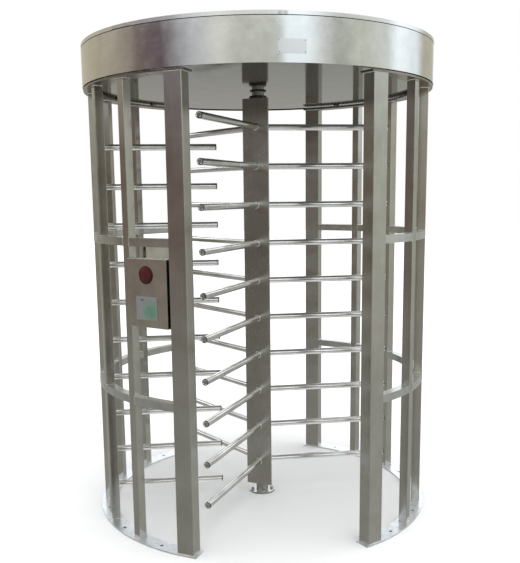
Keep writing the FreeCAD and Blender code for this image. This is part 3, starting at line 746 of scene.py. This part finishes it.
for place in BOX_POSTS:
    turn, axes = box_axes(place)
    low, high, centre = on_cover(place, turn, place + "_signal_lens")
    flange, back = (high.z - low.z) / 2, low.x - centre.x
    radius = flange - LENS_FLANGE
    dome = [(0, back), (flange, back), (flange, -LENS_SEAT), (radius, -LENS_SEAT)]
    for i in range(9):
        t = math.radians(10 * i)
        dome.append((radius * math.cos(t), LENS_RIM + LENS_RISE * math.sin(t)))
    bm = bmesh.new()
    lathe(bm, dome + [(0, LENS_RIM + LENS_RISE)], centre, OUT, 64, 0)
    add_leds(bm, centre, radius)
    make_piece(
        place + "_lens", bm, "frame", [finish["lens"], finish["led"]],
        [place + "_signal_lens"], axes,
    )
    bm = bmesh.new()
    ring = [(radius + width * MM, height * MM) for width, height in RING_OUTLINE]
    lathe(bm, ring, centre, OUT, 64)
    make_piece(place + "_lens_ring", bm, "frame", [finish["lens"]], (), axes)
print("lenses of", round(2 * radius, 3), "m with rings")

# %% [markdown]
# ## The reader's window
# The printed field lies behind clear acrylic. Its green is densest at one corner and
# fades out unevenly, and the sheet itself has a polished edge that shows as a pale line.

# %% Reader windows


def printed_window(name, middle_of_print):
    """Grey acrylic with a green field that fades out round a point, in metres."""
    material, tree, shader = new_material(name)
    place = add(tree, "ShaderNodeTexCoord").outputs["Object"]
    away = add(
        tree, "ShaderNodeVectorMath", {"operation": "DISTANCE"}, i0=place, i1=middle_of_print
    ).outputs["Value"]
    ragged = calc(tree, "MULTIPLY_ADD", speckle(tree, place, 22, 3.0), 45 * MM, away)
    field = remap(tree, ragged, 0.0, 1.0, 40 * MM, 72 * MM)
    stops = [(0.0, paint("4F7262")), (0.5, paint("627668")), (1.0, paint("707472"))]
    smear = speckle(tree, place, 35, 5.0)
    connect(tree, shader, ramp(tree, field, stops), remap(tree, smear, 0.06, 0.22))
    shader.inputs["IOR"].default_value = 1.49
    shader.inputs["Coat Weight"].default_value = 0.3
    return material


finish["window"] = printed_window("printed_acrylic_window", (1.5 * MM, 22 * MM, -14 * MM))


def add_slab(bm, size_y, size_z, corner, levels, material=0, centre=(0, 0)):
    """A rounded slab facing x. levels are (x, inset) pairs from its back to its front."""
    rings = []
    for x, inset in levels:
        outline = rounded_rectangle(size_y / 2, size_z / 2, corner, corner - inset, 5)
        rings.append([bm.verts.new((x, centre[0] + y, centre[1] + z)) for y, z in outline])
    count = len(rings[0])
    for lower, upper in zip(rings, rings[1:]):
        for i in range(count):
            j = (i + 1) % count
            bm.faces.new((lower[i], lower[j], upper[j], upper[i])).material_index = material
    bm.faces.new(list(reversed(rings[0]))).material_index = material
    bm.faces.new(rings[-1]).material_index = material

PANE_MARGIN, PANE_CORNER, PANE_SEAT = 10 * MM, 2 * MM, 2.05 * MM
EYE_WIDTH, EYE_HEIGHT, EYE_AT = 15 * MM, 5 * MM, (-24 * MM, 34 * MM)
for place in BOX_POSTS:
    turn, axes = box_axes(place)
    low, high, centre = on_cover(place, turn, place + "_reader_panel")
    wide, tall = high.y - low.y, high.z - low.z
    front, back = high.x - centre.x, low.x - centre.x
    bm = bmesh.new()
    add_slab(bm, wide, tall, PANE_CORNER, [(back, 0), (-PANE_SEAT, 0)])
    pane = [(-2.0 * MM, 0), (front - 0.7 * MM, 0), (front - 0.2 * MM, 0.3 * MM), (front, 0.9 * MM)]
    add_slab(bm, wide - PANE_MARGIN, tall - PANE_MARGIN, PANE_CORNER, pane)
    eye = [(front - 0.1 * MM, 0), (front + 0.25 * MM, 0), (front + 0.4 * MM, 0.3 * MM)]
    add_slab(bm, EYE_WIDTH, EYE_HEIGHT, PANE_CORNER, eye, 1, EYE_AT)
    make_piece(
        place + "_window", bm, "frame", [finish["window"], finish["bezel"]],
        [place + "_reader_panel"], axes @ Matrix.Translation(centre), smooth=False,
    )
print("windows of", round(wide - PANE_MARGIN, 3), "by", round(tall - PANE_MARGIN, 3), "m")

# %% [markdown]
# ## The bare nameplate and the lid's screws
# The plate is thin aluminium, rolled to the band's curve and held by four blind rivets.
# Nothing is printed on it. Its border is pressed up by a fraction of a millimetre, which
# is enough to catch a line of light. The rim plates on the lid have two screws each.

# %% Nameplate and lid screws


def add_dome(bm, at, outward, radius, height, material=0):
    """A low rivet or screw head with a small flat shoulder."""
    profile = [(radius, -0.2 * MM), (radius, height * 0.3)]
    profile += [(radius * math.cos(a), height * (0.3 + 0.7 * math.sin(a))) for a in (0.4, 0.8, 1.2)]
    lathe(bm, profile + [(0, height)], at, outward, 20, material)


def spread(node):
    """The angles of a node's vertices about the rotor, and how far out it reaches."""
    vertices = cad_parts[node].data.vertices
    return [math.atan2(v.co.y, v.co.x) for v in vertices], max(v.co.xy.length for v in vertices)


BORDER, FIELD_EDGE, RIVET_INSET = 2.5 * MM, 3.1 * MM, 5 * MM
EDGE_DEPTH, FIELD_DEPTH, COLUMNS = 1.0 * MM, 0.25 * MM, 24
low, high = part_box("nameplate")
turns, rim = spread("nameplate")
first, last = min(turns), max(turns)
heights = [low.z, low.z, low.z + BORDER, low.z + FIELD_EDGE]
heights += [2 * middle("nameplate").z - z for z in reversed(heights)]
step = FIELD_EDGE / rim
bends = [first, first, first + step * 0.8, first + step]
bends += [first + step + (last - first - 2 * step) * i / COLUMNS for i in range(1, COLUMNS)]
bends += [last - step, last - step * 0.8, last, last]


def depths(count):
    """How deep each line of points lies: edge, border, and a field of count lines."""
    return [EDGE_DEPTH, 0, 0] + [FIELD_DEPTH] * count + [0, 0, EDGE_DEPTH]


bm = bmesh.new()
grid = [
    [bm.verts.new(on_circle(a, rim - max(da, dz), z)) for z, dz in zip(heights, depths(2))]
    for a, da in zip(bends, depths(COLUMNS + 1))
]
for left, right in zip(grid, grid[1:]):
    for k in range(len(heights) - 1):
        bm.faces.new((left[k], right[k], right[k + 1], left[k + 1]))
for a in (first + RIVET_INSET / rim, last - RIVET_INSET / rim):
    for z in (low.z + RIVET_INSET, high.z - RIVET_INSET):
        seat = on_circle(a, rim - 0.3 * MM, z)
        add_dome(bm, seat, on_circle(a, 1, 0), 2.2 * MM, 0.8 * MM, 1)
make_piece(
    "bare_nameplate", bm, "frame", [finish["nameplate"], finish["machined"]],
    ["nameplate"], smooth=False,
)

CLAMP_GAP, SCREW_INSET = 0.2, 9 * MM
turns, rim = spread("lid_clamps")
turns.sort()
runs = [[turns[0], turns[0]]]
for turn in turns[1:]:
    if turn - runs[-1][1] > CLAMP_GAP:
        runs.append([turn, turn])
    runs[-1][1] = turn
z = middle("lid_clamps").z
bm = bmesh.new()
for first, last in runs:
    for a in (first + SCREW_INSET / rim, last - SCREW_INSET / rim):
        seat = on_circle(a, rim - 0.05 * MM, z)
        add_dome(bm, seat, on_circle(a, 1, 0), 3.5 * MM, 0.6 * MM)
make_piece("lid_screw_heads", bm, "lid", [finish["zinc"]])
print("nameplate with rivets, and", 2 * len(runs), "lid screws")

# %% [markdown]
# ## Where the shaft enters the ceiling
# A collar, clamped by three screws, sits on the column. Above it a dark felt seal under
# the ceiling keeps dust and fingers out of the bearing.

# %% Shaft collar and seal
shaft_low, shaft_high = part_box("rotor_shaft")
shaft_radius = (shaft_high.x - shaft_low.x) / 2
column_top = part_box("column_end_plates")[1].z
ceiling_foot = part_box("ceiling_plate")[0].z
COLLAR_HEIGHT, COLLAR_WALL, COLLAR_EDGE, COLLAR_LIFT = 13 * MM, 11 * MM, 1.2 * MM, 0.1 * MM
SEAL_GAP, SEAL_WALL, SEAL_HEIGHT, SEAL_DROP = 0.4 * MM, 9 * MM, 4 * MM, 4.2 * MM
inner, outer = shaft_radius + 0.05 * MM, shaft_radius + COLLAR_WALL
chamfer = outer - COLLAR_EDGE
collar = [(inner, 0), (chamfer, 0), (outer, COLLAR_EDGE), (outer, COLLAR_HEIGHT - COLLAR_EDGE)]
collar += [(chamfer, COLLAR_HEIGHT), (inner, COLLAR_HEIGHT)]
head = [(3.6 * MM, 0), (3.6 * MM, 3 * MM), (2.9 * MM, 3.6 * MM)]
socket = [(2.9 * MM, 3.6 * MM), (1.8 * MM, 3.6 * MM), (1.7 * MM, 1.6 * MM), (0, 1.4 * MM)]
bm = bmesh.new()
lathe(bm, collar, UP * (column_top + COLLAR_LIFT), UP, 48, 0)
for angle in wing_angles:
    side = angle + math.pi / 3
    at = on_circle(side, outer - 0.6 * MM, column_top + COLLAR_HEIGHT / 2)
    lathe(bm, head, at, on_circle(side, 1, 0), 18, 1)
    lathe(bm, socket, at, on_circle(side, 1, 0), 6, 1)
make_piece("shaft_collar", bm, "rotor", [finish["collar"], finish["zinc"]])
bm = bmesh.new()
seal_inner, seal_outer = inner + SEAL_GAP, shaft_radius + SEAL_WALL
seal = [(seal_inner, 0), (seal_outer, 0), (seal_outer, SEAL_HEIGHT)]
seal += [(seal_inner, SEAL_HEIGHT), (seal_inner, 0)]
lathe(bm, seal, UP * (ceiling_foot - SEAL_DROP), UP, 48)
make_piece("shaft_seal", bm, "frame", [finish["enamel"]])
print("collar", round(2 * outer, 4), "m across")
print("shaft bare for", round(ceiling_foot - column_top, 4), "m")

# %% [markdown]
# ## The room that the steel mirrors
# Bright steel has hardly any colour of its own: it shows the room. So the light is a
# room of soft panels all round, pale and dark in turn, with warm walls between cool
# windows and a grey floor below. Over the walls run a bright band and a dim ceiling, and
# straight overhead hangs a bright panel. The camera itself sees a plain white backdrop.

# %% Room
BRIGHTEST = 2.0

world = bpy.data.worlds.new("studio_room")
scene.world = world
world.use_nodes = True
tree = world.node_tree
tree.nodes.clear()
ray = add(tree, "ShaderNodeTexCoord").outputs["Generated"]
parts = add(tree, "ShaderNodeSeparateXYZ", Vector=ray)
ahead = calc(tree, "MULTIPLY", parts.outputs["Y"], -1.0)
turn = calc(tree, "ARCTAN2", parts.outputs["X"], ahead)
around = remap(tree, turn, 0.0, 1.0, -math.pi, math.pi)


def glow(red, green, blue):
    return (red / BRIGHTEST, green / BRIGHTEST, blue / BRIGHTEST, 1)


def ring_of_walls(stops):
    """Walls as (degrees from the entry side, positive towards +X, red, green, blue)."""
    return ramp(tree, around, [((degrees + 180) / 360, glow(*rgb)) for degrees, *rgb in stops])


high_walls = ring_of_walls([
    (-180, 0.65, 0.60, 0.48), (-125, 0.60, 0.55, 0.43), (-108, 0.56, 0.50, 0.41),
    (-91, 0.44, 0.37, 0.33), (-84, 0.22, 0.16, 0.16), (-67, 0.17, 0.12, 0.15),
    (-58, 0.36, 0.35, 0.38), (-48, 0.74, 0.76, 0.82), (-38, 0.88, 0.91, 0.94),
    (-30, 1.06, 1.08, 1.03), (-21, 0.80, 0.81, 0.76), (6, 0.76, 0.79, 0.74),
    (11, 1.50, 1.66, 1.82), (24, 1.40, 1.54, 1.66), (33, 1.00, 1.03, 1.05),
    (42, 0.54, 0.57, 0.54), (60, 0.78, 0.80, 0.72), (80, 0.92, 0.98, 0.98),
    (89, 1.55, 1.68, 1.84), (112, 1.22, 1.32, 1.42), (121, 0.62, 0.60, 0.50),
    (146, 0.60, 0.57, 0.47), (156, 1.25, 1.30, 1.36), (170, 1.25, 1.30, 1.36),
    (180, 0.65, 0.60, 0.48),
])
low_walls = ring_of_walls([
    (-180, 0.50, 0.48, 0.42), (-125, 0.34, 0.31, 0.26), (-104, 0.24, 0.19, 0.15),
    (-66, 0.27, 0.20, 0.18), (-52, 0.16, 0.11, 0.09), (-38, 0.18, 0.15, 0.11),
    (-24, 0.45, 0.41, 0.33), (34, 0.45, 0.42, 0.34), (52, 0.70, 0.70, 0.59),
    (70, 0.72, 0.74, 0.67), (100, 0.76, 0.79, 0.74), (120, 0.53, 0.55, 0.49),
    (180, 0.50, 0.48, 0.42),
])
floor_glow = ring_of_walls([
    (-180, 0.46, 0.46, 0.45), (-60, 0.38, 0.38, 0.36), (0, 0.48, 0.47, 0.45),
    (60, 0.56, 0.57, 0.54), (180, 0.46, 0.46, 0.45),
])


def rise(start, end):
    """0 below one elevation and 1 above another, in degrees, eased between them."""
    low, high = math.sin(math.radians(start)), math.sin(math.radians(end))
    return remap(tree, parts.outputs["Z"], 0.0, 1.0, low, high, "SMOOTHSTEP")


room = mix_colours(tree, rise(-75, -25), glow(1.0, 1.0, 1.0), floor_glow)
for layer, start, end in (
    (low_walls, -17, 1),
    (high_walls, 3, 9),
    (glow(1.75, 1.8, 1.86), 13, 20),
    (glow(0.85, 0.87, 0.9), 29, 35),
    (glow(0.34, 0.32, 0.31), 38, 46),
    (glow(1.5, 1.5, 1.5), 56, 64),
):
    room = mix_colours(tree, rise(start, end), room, layer)
lit_room = add(tree, "ShaderNodeBackground", Color=room, Strength=BRIGHTEST).outputs[0]
backdrop = add(tree, "ShaderNodeBackground", Color=(1.0, 1.0, 1.0, 1), Strength=1.0).outputs[0]
seen = add(tree, "ShaderNodeLightPath").outputs["Is Camera Ray"]
mixed = add(tree, "ShaderNodeMixShader", i0=seen, i1=lit_room, i2=backdrop).outputs[0]
add(tree, "ShaderNodeOutputWorld", Surface=mixed)
scene.view_settings.view_transform = "Standard"
print("room of", len(tree.nodes), "nodes")

# %% Floor and soft light
FLOOR_HALF, FLOOR_DROP = 30, 0.2 * MM
material, tree, shader = new_material("pale_studio_floor")
shader.inputs["Base Color"].default_value = (0.9, 0.9, 0.9, 1)
shader.inputs["Roughness"].default_value = 0.9
bm = bmesh.new()
bmesh.ops.create_grid(bm, x_segments=1, y_segments=1, size=FLOOR_HALF)
mesh = bpy.data.meshes.new("studio_floor")
bm.to_mesh(mesh)
bm.free()
mesh.materials.append(material)
floor = bpy.data.objects.new("studio_floor", mesh)
floor.location.z = -FLOOR_DROP
floor.visible_glossy = False
scene.collection.objects.link(floor)


def soft_light(name, place, spread, strength):
    """A broad even light from a direction: spread is how wide its source looks."""
    data = bpy.data.lights.new(name, "SUN")
    data.angle = math.radians(spread)
    data.energy = strength
    light = bpy.data.objects.new(name, data)
    light.location = place
    light.rotation_euler = (-Vector(place)).to_track_quat("-Z", "Y").to_euler()
    light.visible_glossy = False
    light.visible_camera = False
    scene.collection.objects.link(light)


soft_light("overhead", (0.6, -0.9, 5.5), 70, 1.4)
print("floor and overhead light")
